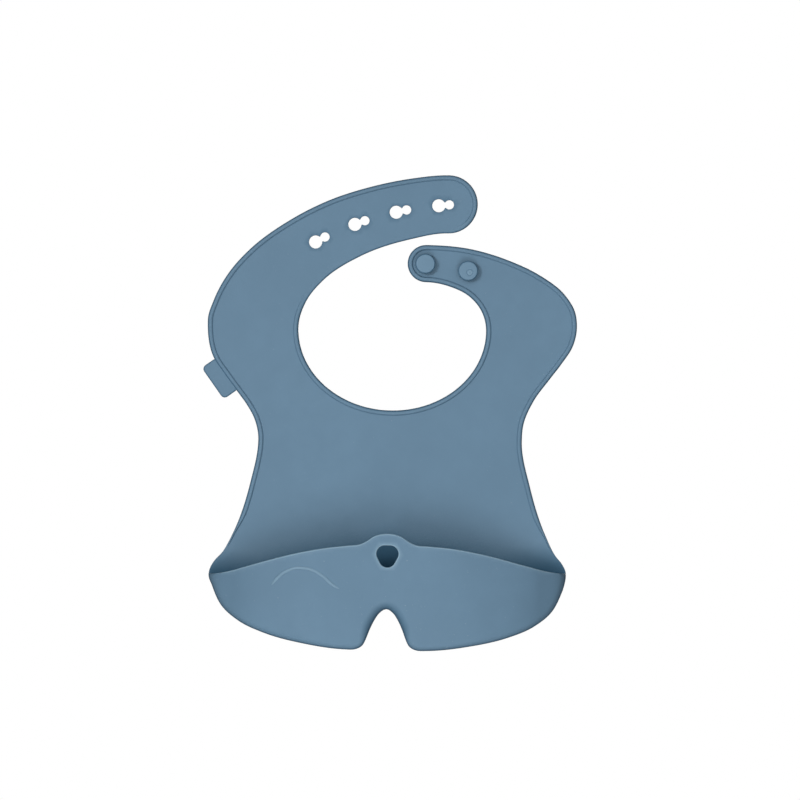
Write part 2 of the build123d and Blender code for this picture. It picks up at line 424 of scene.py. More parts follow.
# Through a keyhole, from the front to the back: (distance out from its wall, height above the back, tone).
# The tone paints shade down the keyhole's wall.
HOLE_PROFILE = (
    (0.42, 1.8, -0.4),
    (0.25, 1.77, -0.4),
    (0.1, 1.66, -0.8),
    (0.02, 1.5, -0.9),
    (0.0, 1.25, -0.9),
    (0.0, 0.5, -0.7),
    (0.08, 0.2, -0.3),
    (0.22, 0.05, 0.0),
    (0.42, 0.0, 0.0),
)


# The rim is narrower where it ends beside the pocket. Where it has died away, a plain rounded edge is left.
RIM_WIDENS_Z, RIM_WIDENS_OVER, RIM_NARROWEST = RIM_END_Z + 4, 18, 0.35
MOST_FADED, PLAIN_EDGE_DROP, PLAIN_EDGE_ROUND = 0.9, 0.3, 0.7
SHEET_CLEAR = 1.1


def plain_edge(points, into):
    """How far the rim dies away, from 0 to 1; it does along the keyhole strap's edge on the neck side."""
    full_at, fade_over = 0.6, 14
    outward = points / np.linalg.norm(points, axis=1)[:, None]
    neck_side = np.clip((into * outward).sum(1) / full_at, 0, 1)
    lowest = np.where(points[:, 0] < 0, 8, 40)
    return neck_side * np.clip((points[:, 1] - lowest) / fade_over, 0, 1)


def settled(points):
    """The outline with the ends of the pocket's mouth slid along it, the left one down, the right one up."""
    slide_over, side_x = 8, 100
    near = np.clip(1 - np.abs(points[:, 1] - CORNER[1]) / slide_over, 0, 1)
    near *= np.abs(points[:, 0]) > side_x
    slid = points.copy()
    slid[:, 1] += near * np.where(points[:, 0] > 0, RIGHT_RISE, -LEFT_DROP)
    return slid


def pocket_shade(flat):
    """Tone of the closed-in shade on the apron inside the pocket and in the corners of its mouth."""
    inside_corner, stretch, soft_edge = 2, 0.3, 14
    on_right = flat[:, 0] > 0
    reach = np.where(on_right, 18.5, 15.5)
    corner_z = CORNER[1] + inside_corner + np.where(on_right, RIGHT_RISE, -LEFT_DROP)
    across = np.abs(flat[:, 0]) - CORNER[0] + inside_corner
    away = np.hypot(stretch * across, flat[:, 1] - corner_z)
    below = np.interp(flat[:, 0], MOUTH[:, 0], MOUTH[:, 1]) - flat[:, 1]
    near_lip = np.interp(below, [-8, 0, 10], [0, 0.2, 1])
    return -np.clip(np.maximum((reach - away) / soft_edge, near_lip), 0, 1)


def sheet_mesh():
    """The whole flat moulding as one closed mesh: rim, keyholes, front and back."""
    points, ways = sampled(outline(), OUTLINE_STEP)
    points, into = settled(points[:-1]), inward(ways[:-1])
    fade = eased(np.clip((points[:, 1] - (RIM_END_Z - RIM_FADE / 2)) / RIM_FADE, 0, 1))
    fade = fade * (1 - MOST_FADED * plain_edge(points, into))
    widening = eased(np.clip((points[:, 1] - RIM_WIDENS_Z) / RIM_WIDENS_OVER, 0, 1))
    into_rim = into * (RIM_NARROWEST + (1 - RIM_NARROWEST) * widening)[:, None]
    build = Builder()
    rows = []
    for inset, height, tone in RIM_PROFILE:
        on_front, past_edge = height > 1, inset > 1
        plain = min(height, SHEET)
        if on_front:
            plain -= PLAIN_EDGE_DROP * max(0, 1 - inset / PLAIN_EDGE_ROUND) ** 2
        tones = tone * (fade if past_edge else 1.0)
        if on_front:
            tones = np.minimum(tones, pocket_shade(points))
        rows.append(build.add(lifted(points + into_rim * inset, plain + (height - plain) * fade), tones))
    for a, b in zip(rows, rows[1:]):
        build.strip(a, b, flip=True)
    front_loops = [points + into_rim * RIM_PROFILE[0][0]]
    back_loops = [points + into_rim * RIM_PROFILE[-1][0]]
    front_numbers, back_numbers = [rows[0]], [rows[-1]]
    for centre, turn in keyholes():
        hole_rows = []
        for margin, height, tone in HOLE_PROFILE:
            hole_rows.append(build.add(lifted(keyhole_loop(centre, turn, margin), height), tone))
        for a, b in zip(hole_rows, hole_rows[1:]):
            build.strip(a, b, flip=True)
        front_loops.append(keyhole_loop(centre, turn, HOLE_PROFILE[0][0]))
        back_loops.append(keyhole_loop(centre, turn, HOLE_PROFILE[-1][0]))
        front_numbers.append(hole_rows[0])
        back_numbers.append(hole_rows[-1])
    lattice = lattice_points()
    for loops, numbers, height, flip in (
        (front_loops, front_numbers, SHEET, False),
        (back_loops, back_numbers, 0.0, True),
    ):
        flat, faces = filled(loops, lattice, SHEET_CLEAR)
        known = np.concatenate(numbers)
        tones = 0.0 if flip else pocket_shade(flat[len(known) :])
        extra = build.add(lifted(flat[len(known) :], height), tones)
        build.triangles(np.concatenate([known, extra]), faces, flip)
    return build.mesh("sheet")


def object_of(mesh, name):
    mesh.name = name
    obj = bpy.data.objects.new(name, mesh)
    bpy.context.scene.collection.objects.link(obj)
    return obj


def solid_object(mesh, name):
    """An object of a closed mesh, once its faces all point outwards."""
    facing_out(mesh)
    return object_of(mesh, name)


def cut_piece(mesh, name, cuts):
    """A closed copy of the mesh, kept on the side of each cut that its normal points to.

    Each cut is (point, normal) in the flat drawing, in millimetres.
    """
    bm = bmesh.new()
    bm.from_mesh(mesh)
    for point, normal in cuts:
        found = bmesh.ops.bisect_plane(
            bm,
            geom=[*bm.verts, *bm.edges, *bm.faces],
            dist=1e-7,
            plane_co=(point[0] * MM, 0, point[1] * MM),
            plane_no=(normal[0], 0, normal[1]),
            clear_inner=True,
        )
        rim = [e for e in found["geom_cut"] if isinstance(e, bmesh.types.BMEdge)]
        caps = bmesh.ops.holes_fill(bm, edges=rim, sides=0)["faces"]
        for cap in caps:
            for edge in cap.edges:
                edge.smooth = False
    made = bpy.data.meshes.new(name)
    bm.to_mesh(made)
    bm.free()
    return object_of(made, name)


# ---------------------------------------------------------------- pocket


def lens_depths(inset):
    """Half widths, and how far the pocket's face stands in front of the back plane there."""
    half, depth = CORNER[0], POCKET_DEPTH
    run = [
        (half, -POCKET_SIDE, (-0.35, -1)),
        (0.86 * half, -0.49 * depth),
        (0.55 * half, -0.85 * depth),
        (0, -depth, LEFT),
    ]
    points, ways = sampled(run, LENS_STEP)
    points = (points + inward(ways) * inset)[::-1]
    return points[:, 0], -points[:, 1]


OUTER_LENS, INNER_LENS = lens_depths(0.0), lens_depths(POCKET_WALL)


def depth_at(x, inner=False):
    """How far the pocket's outer or inner face stands in front of the back plane."""
    return np.interp(np.abs(x), *(INNER_LENS if inner else OUTER_LENS))


def mouth_curve():
    """Points along the pocket's mouth from left to right; it hangs a little lower at the left."""
    run = [
        (CORNER[0] + 1.0, -158.3 + RIGHT_RISE, (-1, 0.04)),
        (104.0, -154.2),
        (89.0, -150.3),
        (60.6, -143.0),
        (40.5, -139.5),
        (24.7, -138.2),
        (18.0, -137.7),
        (13.6, -135.7),
        (8.6, -132.5),
        (0, TONGUE_TOP_Z, LEFT),
        (-8.6, -132.5),
        (-13.6, -135.8),
        (-18.0, -137.9),
        (-24.7, -138.7),
        (-40.5, -140.8),
        (-60.6, -145.1),
        (-89.0, -153.6),
        (-104.0, -158.4),
        (-CORNER[0] - 1.0, -158.3 - LEFT_DROP, (-1, -0.04)),
    ]
    return sampled(run, MOUTH_STEP)[0][::-1]


MOUTH = mouth_curve()


def hook_hole_loop():
    """The tongue's hole, a rounded triangle with its point down, anticlockwise and evenly spaced."""
    corners = np.array([(-1.7, 1.0), (0.0, -2.4), (1.7, 1.0)])
    rounding, half_turn, count = 5.3, 120, 60
    points = []
    for i in range(2 * half_turn):
        a = math.pi * i / half_turn
        way = np.array([math.cos(a), math.sin(a)])
        points.append(corners[np.argmax(corners @ way)] + rounding * way)
    points = np.array([*points, points[0]])
    travel = np.concatenate([[0], np.cumsum(np.linalg.norm(np.diff(points, axis=0), axis=1))])
    wanted = np.linspace(0, travel[-1], count + 1)[:-1]
    even = np.stack([np.interp(wanted, travel, points[:, 0]), np.interp(wanted, travel, points[:, 1])], 1)
    return even + np.array([0, TONGUE_HOLE_Z])


# How the pocket's shell is divided: rows up its wall, rows over its rounded edge, steps over its lip.
WALL_ROWS, ROUND_ROWS, LIP_STEPS = 14, 10, 8
# Where the shell's outer and inner faces start, a little inside the apron.
OUTER_FOOT, INNER_FOOT = 1.25, 1.4
# The edge is rounder round the notch, and never rounder than a share of the wall's height.
NOTCH_SIDE_X, NOTCH_LOW_Z, NOTCH_EXTRA_ROUND, MOST_ROUND = 18, -202, 3.0, 0.75
NOTCH_FADE_X, NOTCH_FADE_Z = 6, 12
# The rounded edge's shade dies away from row to row: over five rows, and over more of them in the notch.
EDGE_DARK, EDGE_DARK_FALL, NOTCH_DARK, NOTCH_DARK_ROWS = 0.9, 0.04, 0.95, 8
# The lip's height, and where it runs out into the corners; the rounding of the tongue's hole.
LIP, LIP_END_X, LIP_FADE, HOLE_ROUND = 0.95, 110.5, 8, 0.9
END_GAP, FRONT_CLEAR = 0.8, 1.0


def front_lattice():
    """A staggered lattice over the pocket's front."""
    spacing, row_height, columns, rows = 2.4, 2.1, 96, 40
    left, bottom = -114, -207
    made = []
    for r in range(rows):
        x = left + (r % 2) * spacing / 2 + spacing * np.arange(columns)
        made.append(np.stack([x, np.full(columns, bottom + r * row_height)], 1))
    return np.concatenate(made)


def roll_over(build, outer, inner, points_at, closed):
    """Joins an outer edge to an inner one over half a turn; points_at(turn) gives each row between."""
    last = outer
    for i in range(1, LIP_STEPS):
        # The front half of the roll carries a painted highlight: the pale tone along the mouth's lip and
        # round the tongue's hole.
        numbers = build.add(points_at(math.pi * i / LIP_STEPS), 1.0 if i < LIP_STEPS / 2 else 0.0)
        build.strip(last, numbers, closed, flip=True)
        last = numbers
    build.strip(last, inner, closed, flip=True)


def pocket_mesh():
    """The pocket's wall and floor as one closed shell, its mouth and the tongue's hole rounded over."""
    points, ways = sampled(pocket_outline(), POCKET_STEP)
    points, into = settled(points), inward(ways)
    build = Builder()
    beside = np.clip((NOTCH_SIDE_X - np.abs(points[:, 0])) / NOTCH_FADE_X, 0, 1)
    above = np.clip((points[:, 1] - NOTCH_LOW_Z) / NOTCH_FADE_Z, 0, 1)
    near_notch = eased(beside * above)
    softness = POCKET_ROUND + NOTCH_EXTRA_ROUND * near_notch

    def row(inset, lift, inner, tone=0.0):
        """A row round the outline; inset is in millimetres, and lift(top, foot, radius) is a height."""
        flat = points + into * inset[:, None]
        for end in (0, -1):
            flat[end, 1] = np.interp(flat[end, 0], MOUTH[:, 0], MOUTH[:, 1])
        top = depth_at(flat[:, 0], inner)
        foot = INNER_FOOT if inner else OUTER_FOOT
        radius = np.minimum(softness - (POCKET_WALL if inner else 0), MOST_ROUND * (top - foot))
        return flat, build.add(lifted(flat, lift(top, foot, radius)), tone)

    def shell(inner):
        """One face of the shell: up from the apron, then over the rounded edge to the plain front."""
        wall = POCKET_WALL if inner else 0.0
        rows = []
        for i in range(WALL_ROWS):
            inset = np.full(len(points), wall)
            share = i / WALL_ROWS
            _, numbers = row(inset, lambda top, foot, r, s=share: foot + (top - r - foot) * s, inner)
            rows.append(numbers)
        for i in range(ROUND_ROWS):
            turn = math.pi / 2 * i / (ROUND_ROWS - 1)
            inset = wall + (softness - wall) * (1 - math.cos(turn))
            dark_notch = NOTCH_DARK * near_notch * max(0, 1 - i / NOTCH_DARK_ROWS)
            dark_edge = max(0, min(EDGE_DARK, 1 - EDGE_DARK_FALL * i * i))
            tone = -np.maximum(dark_notch, dark_edge)
            flat, numbers = row(inset, lambda top, foot, r, a=turn: top - r + r * math.sin(a), inner, tone)
            rows.append(numbers)
        return rows, flat

    outer, loop = shell(False)
    inner, _ = shell(True)
    for rows in (outer, inner):
        for a, b in zip(rows, rows[1:]):
            build.strip(a, b, closed=False, flip=rows is inner)
    build.strip(outer[0], inner[0], closed=False, flip=True)

    hole = hook_hole_loop()
    hole_out = inward(loop_ways(hole))
    wide_hole = hole + hole_out * HOLE_ROUND
    mouth = MOUTH[np.abs(MOUTH[:, 0]) < loop[0, 0] - END_GAP]
    lip = LIP * np.clip((LIP_END_X - np.abs(mouth[:, 0])) / LIP_FADE, 0, 1)
    low = np.stack([mouth[:, 0], mouth[:, 1] - lip], 1)
    lattice = front_lattice()
    edges = []
    for is_inner, rows in ((False, outer), (True, inner)):
        # On the outer face, a faint painted highlight just under the lip and a brighter one round the
        # tongue's hole.
        low_tone, hole_tone = (0.0, 0.0) if is_inner else (0.15, 0.35)
        low_numbers = build.add(lifted(low, depth_at(low[:, 0], is_inner)), low_tone)
        hole_numbers = build.add(lifted(wide_hole, depth_at(wide_hole[:, 0], is_inner)), hole_tone)
        known = np.concatenate([rows[-1], low_numbers, hole_numbers])
        flat, faces = filled([np.concatenate([loop, low]), wide_hole], lattice, FRONT_CLEAR)
        extra_flat = flat[len(known) :]
        extra = build.add(lifted(extra_flat, depth_at(extra_flat[:, 0], is_inner)))
        build.triangles(np.concatenate([known, extra]), faces, is_inner)
        left_end = [numbers[-1] for numbers in rows]
        right_end = [numbers[0] for numbers in reversed(rows)]
        edges.append((np.array([*left_end, *low_numbers, *right_end]), hole_numbers))

    placed = np.concatenate(build.points)
    (outer_edge, outer_hole), (inner_edge, inner_hole) = edges
    rise = np.concatenate([np.zeros(len(outer)), lip, np.zeros(len(outer))])

    def lip_row(turn):
        across = placed[inner_edge] - placed[outer_edge]
        middle = placed[outer_edge] + across * (1 - math.cos(turn)) / 2
        middle[:, 2] += rise * math.sin(turn)
        return middle

    def hole_row(turn):
        flat = hole + hole_out * (HOLE_ROUND * (1 - math.sin(turn)))
        drop = POCKET_WALL * (1 - math.cos(turn)) / 2
        return lifted(flat, depth_at(flat[:, 0]) - drop)

    roll_over(build, outer_edge, inner_edge, lip_row, closed=False)
    roll_over(build, outer_hole, inner_hole, hole_row, closed=True)
    return build.mesh("pocket")


def arc_mesh():
    """The thin raised arc on the pocket's front, a plain rounded ridge that follows its face, its colour
    painted pale as a highlight.
    """
    half_width, ridge, lift, sides, taper, tone = 0.95, 0.38, 0.05, 10, 0.08, 0.5
    left = [(-73.6, -165.3, (0.6, 0.8)), (-64.5, -156.3), (-56.3, -153.8, RIGHT)]
    right = [(-47.6, -155.0), (-41.1, -158.6), (-34.6, -164.0), (-30.1, -166.5, (0.9, -0.44))]
    run, ways = sampled([*left, *right], ARC_STEP)
    side = inward(ways)
    along = np.linspace(0, 1, len(run))
    width = half_width * np.clip(np.minimum(along, 1 - along) / taper, 0.05, 1) ** 0.5
    build = Builder()
    rows = []
    for i in range(sides):
        turn = 2 * math.pi * i / sides
        flat = run + side * (width * math.cos(turn))[:, None]
        height = depth_at(run[:, 0]) + lift + ridge * width / half_width * math.sin(turn)
        rows.append(build.add(lifted(flat, height), tone))
    for a, b in zip(rows, [*rows[1:], rows[0]]):
        build.strip(a, b, closed=False)
    build.faces.append(tuple(r[0] for r in rows))
    build.faces.append(tuple(r[-1] for r in reversed(rows)))
    return build.mesh("arc")


# ---------------------------------------------------------------- studs and side tab


def arc_points(centre, radius, first, last, steps=8):
    """Points (r, h) of an arc in a lathe profile; angles in degrees from outward towards the top."""
    points = []
    for i in range(steps + 1):
        a = math.radians(first + (last - first) * i / steps)
        points.append((centre[0] + radius * math.cos(a), centre[1] + radius * math.sin(a)))
    return points


def stud_mesh(centre, gate):
    """A mushroom stud turned from its profile; gate, if any, is the (x, z) offset of its round mark."""
    root, stem, head, brim, top = 0.9, 2.8, 6.5, 4.2, 6.8
    foot_h, shoulder_h, shoulder_end = SHEET + 0.85, top - 1.3, 82
    foot_round, neck_round, brim_round, crown_round = 0.9, 0.5, 0.7, 1.15
    crown_rows, turns, edge_band, crown_band = 20, 72, 0.75, 0.4
    groove_r, groove_half, groove_depth, pad_r, pad_height = 1.9, 0.32, 0.28, 1.6, 0.1
    # The tones are painted light: shade round the head's edge and on the stem, a faint highlight on the
    # crown.
    edge_tone, crown_tone, stem_tone = -0.7, 0.12, -0.4
    profile = [(stem + foot_round, root)]
    profile += arc_points((stem + foot_round, foot_h), foot_round, -90, -180)
    profile += arc_points((stem + neck_round, brim - neck_round), neck_round, 180, 90, 5)
    profile += arc_points((head - brim_round, brim + brim_round), brim_round, -90, 0)
    profile += arc_points((head - crown_round, shoulder_h), crown_round, 0, shoulder_end, 10)
    rim_r, rim_h = profile[-1]
    for i in range(1, crown_rows):
        share = 1 - i / crown_rows
        profile.append((rim_r * share, top + (rim_h - top) * share**3))
    build = Builder()
    rows = []
    middle = np.array(centre)
    angles = 2 * math.pi * np.arange(turns) / turns
    ring = np.stack([np.cos(angles), np.sin(angles)], 1)
    for r, h in profile:
        flat = middle + ring * r
        height = np.full(turns, h)
        on_crown = h > top - crown_band
        if r > head - edge_band:
            tone = np.full(turns, edge_tone)
        else:
            tone = np.full(turns, crown_tone if on_crown else stem_tone)
        if gate is not None and on_crown:
            away = np.linalg.norm(flat - middle - np.array(gate), axis=1)
            groove = np.exp(-(((away - groove_r) / groove_half) ** 2))
            height = height - groove_depth * groove + pad_height * (away < pad_r)
            # Round the mark: a painted highlight on its raised pad and painted shade in its groove.
            pale_ring, dark_ring = np.abs(away - 1.2) < 0.5, np.abs(away - 1.95) < 0.3
            tone = tone + 0.35 * pale_ring - 0.3 * dark_ring
        rows.append(build.add(lifted(flat, height), tone))
    for a, b in zip(rows, rows[1:]):
        build.strip(a, b)
    tip = build.add([(middle[0], -top, middle[1])], crown_tone)
    for i in range(turns):
        build.faces.append((rows[-1][i], rows[-1][(i + 1) % turns], tip[0]))
    build.faces.append(tuple(reversed(rows[0])))
    return build.mesh("stud")


def rounded_rectangle(half_w, half_h, r, step=0.8, turns=8):
    """Anticlockwise points and outward directions round a rectangle with rounded corners."""
    corners = ((1, 1), (-1, 1), (-1, -1), (1, -1))
    points, outs = [], []
    for k, (sx, sy) in enumerate(corners):
        centre = np.array([sx * (half_w - r), sy * (half_h - r)])
        for i in range(turns + 1):
            a = math.pi / 2 * (k + i / turns)
            way = np.array([math.cos(a), math.sin(a)])
            points.append(centre + r * way)
            outs.append(way)
        next_x, next_y = corners[(k + 1) % 4]
        goal = np.array([next_x * (half_w - r), next_y * (half_h - r)]) + r * outs[-1]
        start = points[-1]
        count = max(2, round(np.linalg.norm(goal - start) / step))
        for i in range(1, count):
            points.append(start + (goal - start) * i / count)
            outs.append(outs[-1])
    return np.array(points), np.array(outs)


# Round the side tab, from its front to its back: (distance in from the edge, height above the back, tone).
# The tone paints shade along the tab's rounded edge.
TAB_PROFILE = (
    (1.1, 1.8, 0.0),
    (0.75, 1.79, -0.5),
    (0.4, 1.75, -0.8),
    (0.15, 1.6, -0.9),
    (0.02, 1.35, -0.9),
    (0.0, 0.6, -0.6),
    (0.1, 0.28, -0.3),
    (0.3, 0.08, 0.0),
    (1.1, 0.02, 0.0),
)


def tab_mesh():
    """The small flat tab that stands out from the left edge, with softly rounded edges."""
    length, reach, rounding, buried = 25.0, 9.7, 3.0, 2.4
    lattice_start, column_gap, row_gap, clear = -3, 0.9, 1.1, 0.6
    points, outs = rounded_rectangle((reach + buried) / 2, length / 2, rounding)
    points[:, 0] += (reach - buried) / 2
    c, s = TAB_OUT
    turned, place = np.array([(c, s), (-s, c)]), np.array(TAB_HINGE)
    build = Builder()
    rows = []
    for inset, height, tone in TAB_PROFILE:
        rows.append(build.add(lifted((points - outs * inset) @ turned + place, height), tone))
    for a, b in zip(rows, rows[1:]):
        build.strip(a, b)
    xs = np.arange(lattice_start, reach, column_gap)
    ys = np.arange(-length / 2, length / 2, row_gap)
    lattice = np.array([(x, y) for x in xs for y in ys])
    for end, flip in ((0, False), (-1, True)):
        inset, height, _ = TAB_PROFILE[end]
        flat, faces = filled([points - outs * inset], lattice, clear)
        extra = build.add(lifted(flat[len(points) :] @ turned + place, height))
        build.triangles(np.concatenate([rows[end], extra]), faces, flip)
    return build.mesh("tab")


# ---------------------------------------------------------------- materials

BLUE = (0.12, 0.209, 0.297)
# Painted highlight: the pale colour that a positive tone mixes in on raised edges, the lip, the arc and the
# studs.
PAINTED_HIGHLIGHT = (0.265, 0.4, 0.505, 1.0)
LINT = (0.42, 0.5, 0.56, 1.0)
# The share of each colour channel that is left in deep shade.
DEEP = (0.1, 0.32, 0.42)
# Patterns over the surface: (noise scale in repeats per metre, detail, roughness).
BROAD, CLOUD, GRAIN, SPECK = (14, 3, 0.5), (95, 4, 0.6), (1500, 2, 0.5), (620, 1, 0.5)


def silicone(name, colour, grain=1.0, rough=0.5):
    """Matte moulded silicone: faint mottling, fine grain, painted highlights on raised edges, painted shade
    in grooves, along edges and in hollows, and a few specks of lint.
    """
    mat = bpy.data.materials.new(name)
    mat.use_nodes = True
    nodes, links = mat.node_tree.nodes, mat.node_tree.links
    shader = nodes["Principled BSDF"]
    coords = nodes.new("ShaderNodeTexCoord")

    def noise(scale, detail, roughness):
        node = nodes.new("ShaderNodeTexNoise")
        node.inputs["Scale"].default_value = scale
        node.inputs["Detail"].default_value = detail
        node.inputs["Roughness"].default_value = roughness
        links.new(coords.outputs["Object"], node.inputs["Vector"])
        return node.outputs["Fac"]

    def ramp(source, low, high, a, b):
        """Turns the range from low to high into the range from a to b."""
        node = nodes.new("ShaderNodeMapRange")
        for key, value in (("From Min", low), ("From Max", high), ("To Min", a), ("To Max", b)):
            node.inputs[key].default_value = value
        links.new(source, node.inputs["Value"])
        return node.outputs["Result"]

    def mixed(factor, a, b):
        """Colour a where the factor is 0 and b where it is 1; each is a socket or a colour."""
        node = nodes.new("ShaderNodeMix")
        node.data_type = "RGBA"
        links.new(factor, node.inputs[0])
        for socket, value in ((6, a), (7, b)):
            if isinstance(value, bpy.types.NodeSocket):
                links.new(value, node.inputs[socket])
            else:
                node.inputs[socket].default_value = value
        return node.outputs[2]

    def bumped(height, strength, distance):
        node = nodes.new("ShaderNodeBump")
        node.inputs["Strength"].default_value = strength
        node.inputs["Distance"].default_value = distance
        links.new(height, node.inputs["Height"])
        return node

    def shade(scale):
        return (*(min(1.0, c * scale) for c in colour), 1.0)

    deep = (*(c * share for c, share in zip(colour, DEEP)), 1.0)
    broad, cloud, fine, speck = noise(*BROAD), noise(*CLOUD), noise(*GRAIN), noise(*SPECK)
    tone = nodes.new("ShaderNodeAttribute")
    tone.attribute_name = "tone"
    hollow = nodes.new("ShaderNodeAmbientOcclusion")
    hollow.inputs["Distance"].default_value = 0.2
    hollow.samples = 6

    # Mottling, then painted highlights and painted shade from the tone, then lint, then painted shade in
    # hollows from ambient occlusion.
    base = mixed(ramp(broad, 0.35, 0.65, 0, 1), shade(0.965), shade(1.035))
    base = mixed(ramp(cloud, 0.4, 0.62, 0, 0.4), base, shade(0.95))
    base = mixed(ramp(tone.outputs["Fac"], 0, 1, 0, 0.75), base, PAINTED_HIGHLIGHT)
    base = mixed(ramp(tone.outputs["Fac"], -1, 0, 0.72, 0), base, deep)
    base = mixed(ramp(speck, 0.74, 0.82, 0, 0.2), base, LINT)
    # Painted shade: the colour goes to the deep shade colour where ambient occlusion finds the surface
    # closed in.
    shut_in = ramp(hollow.outputs["AO"], 0.27, 0.47, 0.95, 0)
    shut_in.node.interpolation_type = "SMOOTHSTEP"
    base = mixed(shut_in, base, deep)
    links.new(base, shader.inputs["Base Color"])
    links.new(ramp(cloud, 0.3, 0.7, rough - 0.05, rough + 0.08), shader.inputs["Roughness"])

    # Long shallow waves, with the mould's fine grain on top of them.
    waves = bumped(broad, 0.2, 0.0006)
    bump = bumped(fine, 0.15 * grain, 0.00012)
    links.new(waves.outputs["Normal"], bump.inputs["Normal"])
    links.new(bump.outputs["Normal"], shader.inputs["Normal"])
    shader.inputs["Specular IOR Level"].default_value = 0.18
    shader.inputs["IOR"].default_value = 1.43
    return mat


body_silicone = silicone("silicone_body", BLUE)
# The studs' silicone is the body's colour made paler as painted light on the raised heads, with a fainter
# grain and a little more gloss.
stud_silicone = silicone("silicone_stud", tuple(c * 1.06 for c in BLUE), grain=0.6, rough=0.42)


def dressed(obj, material, *nodes):
    """Smooth-shades a piece, gives it its material and hides the CAD nodes it stands for."""
    obj.data.polygons.foreach_set("use_smooth", [True] * len(obj.data.polygons))
    obj.data.materials.clear()
    obj.data.materials.append(material)
    if nodes:
        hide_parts(*nodes)
    return obj


def bend(obj, a, b, point, way, reach):
    """Bakes a piece's transform into its mesh."""
    point, way = np.array(point), np.array(way)
    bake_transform(obj)


def facing_out(mesh):
    """Makes every face of a closed mesh point outwards."""
    bm = bmesh.new()
    bm.from_mesh(mesh)
    bmesh.ops.recalc_face_normals(bm, faces=bm.faces)
    bm.to_mesh(mesh)
    bm.free()


def keep_part(obj, point):
    """Keeps only the separate part of a mesh that is nearest to a point on its front."""
    bm = bmesh.new()
    bm.from_mesh(obj.data)
    target = Vector((point[0] * MM, -SHEET * MM, point[1] * MM))
    start = min(bm.verts, key=lambda v: (v.co - target).length)
    seen, stack = {start}, [start]
    while stack:
        for edge in stack.pop().link_edges:
            for vertex in edge.verts:
                if vertex not in seen:
                    seen.add(vertex)
                    stack.append(vertex)
    bmesh.ops.delete(bm, geom=[v for v in bm.verts if v not in seen], context="VERTS")
    bm.to_mesh(obj.data)
    bm.free()


# ---------------------------------------------------------------- the sheet, cut where its bends end

# Each seam lies where a bend ends. A point on the part to keep picks it out where a cut leaves two.
SEAM_Z, CURL_SEAM_BACK, STRAP_END_LOW_Z = -16.0, 14.5, 10
ON_STRAP_END, ON_STUD_STRAP = (35, 96), (100, 20)
CURL_SEAM = tuple(p - CURL_SEAM_BACK * t for p, t in zip(CURL_POINT, CURL_TANGENT))
# How far each bend reaches on either side of its hinge.
WAIST_REACH, SHOULDER_REACH, CURL_REACH, TAB_REACH = 16, 13, 12, 2
TAB_HINGE_OUT = 1.5
# Each stud: (node, centre, offset of its moulding mark).
STUDS = (
    ("outer_stud", (20.6, 43.3), None),
    ("inner_stud", (48.4, 39.2), (1.2, -1.1)),
)

whole = sheet_mesh()
facing_out(whole)
back_along_strap = (-CURL_TANGENT[0], -CURL_TANGENT[1])
root_cuts = [((0, SEAM_Z), UP), ((0, 0), LEFT), (CURL_SEAM, back_along_strap)]
end_cuts = [(CURL_SEAM, CURL_TANGENT), ((0, STRAP_END_LOW_Z), UP)]
apron = cut_piece(whole, "apron", [((0, SEAM_Z), DOWN)])
strap_root = cut_piece(whole, "keyhole_strap_root", root_cuts)
strap_end = cut_piece(whole, "keyhole_strap_end", end_cuts)
stud_sheet = cut_piece(whole, "stud_strap_sheet", [((0, SEAM_Z), UP), ((0, 0), RIGHT)])
keep_part(strap_end, ON_STRAP_END)
keep_part(stud_sheet, ON_STUD_STRAP)
dressed(apron, body_silicone, "chest_panel", "skirt_panel")
dressed(strap_root, body_silicone, "keyhole_strap")
dressed(strap_end, body_silicone, "keyhole_strap_tip")
dressed(stud_sheet, body_silicone, "stud_strap")
bend(apron, "chest", "skirt", (0, HINGE_Y, WAIST_Z), (0, 0, -1), WAIST_REACH)
bend(strap_root, "chest", "keyhole_shoulder", (0, HINGE_Y, 0), (0, 0, 1), SHOULDER_REACH)
curl_hinge = (CURL_POINT[0], HINGE_Y, CURL_POINT[1])
curl_way = (CURL_TANGENT[0], 0, CURL_TANGENT[1])
bend(strap_end, "keyhole_shoulder", "keyhole_end", curl_hinge, curl_way, CURL_REACH)
bend(stud_sheet, "chest", "stud_shoulder", (0, HINGE_Y, 0), (0, 0, 1), SHOULDER_REACH)

pocket = solid_object(pocket_mesh(), "pocket_shell")
dressed(pocket, body_silicone, "pocket_front", "pocket_floor", "tongue")
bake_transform(pocket)
arc = solid_object(arc_mesh(), "pocket_arc")
dressed(arc, body_silicone)
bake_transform(arc)

for name, centre, gate in STUDS:
    stud = solid_object(stud_mesh(centre, gate), name + "_head")
    dressed(stud, stud_silicone, name)
    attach(stud, "stud_shoulder")

side_tab = solid_object(tab_mesh(), "side_tab_flap")
dressed(side_tab, body_silicone, "side_tab")
tab_x, tab_z = (p + TAB_HINGE_OUT * t for p, t in zip(TAB_HINGE, TAB_OUT))
bend(side_tab, "chest", "tab", (tab_x, HINGE_Y, tab_z), (TAB_OUT[0], 0, TAB_OUT[1]), TAB_REACH)

# ---------------------------------------------------------------- floor, light and camera


FLOOR_RADIUS, FLOOR_Z = 5, -1.8


def floor_disc():
    """A large pale disc well below the bib, which sends no light back up to it."""
    bm = bmesh.new()
    bmesh.ops.create_circle(bm, cap_ends=True, radius=FLOOR_RADIUS, segments=96)
    mesh = bpy.data.meshes.new("floor")
    bm.to_mesh(mesh)
    bm.free()
    obj = object_of(mesh, "floor")
    obj.location = (0, 0, FLOOR_Z)
    obj.visible_diffuse = False
    obj.visible_glossy = False
    mat = bpy.data.materials.new("floor")
    mat.use_nodes = True
    shader = mat.node_tree.nodes["Principled BSDF"]
    shader.inputs["Base Color"].default_value = (0.8, 0.8, 0.8, 1)
    shader.inputs["Roughness"].default_value = 0.8
    shader.inputs["Emission Color"].default_value = (1, 1, 1, 1)
    shader.inputs["Emission Strength"].default_value = 0.72
    mesh.materials.append(mat)


